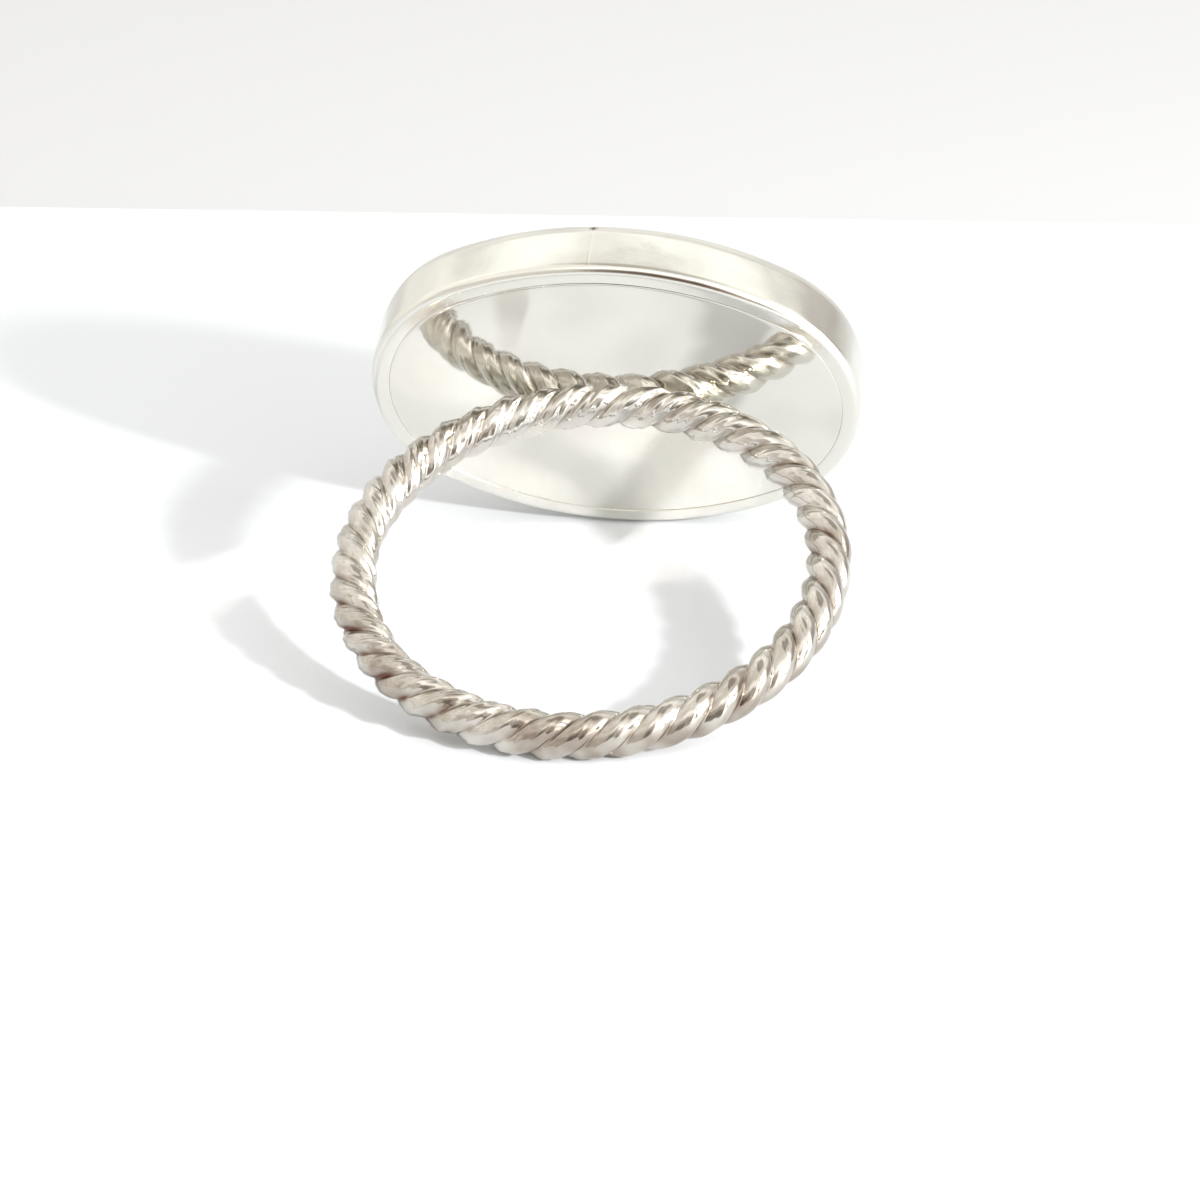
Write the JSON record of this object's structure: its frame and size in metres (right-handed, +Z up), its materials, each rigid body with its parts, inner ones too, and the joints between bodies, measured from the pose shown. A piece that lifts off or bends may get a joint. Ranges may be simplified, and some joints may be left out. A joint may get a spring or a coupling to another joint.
{
  "type": "agate ring",
  "caption": "Finger ring: oval bezel setting with a flat back plate and a low oval cabochon, on a round shank of twisted wire.",
  "frame": {"origin": "middle of the overall box, on the surface that the ring lies on", "axes": "+Z up; +Y the way the stone faces, apart from the lean of the setting; -Y towards the far end of the shank; +X along the length of the setting"},
  "size_m": [0.022, 0.0256, 0.0151],
  "materials": {
    "silver": "polished",
    "agate": "polished"
  },
  "bodies": {
    "root": {"setting": "silver", "stone": "agate"}
  },
  "joints": []
}
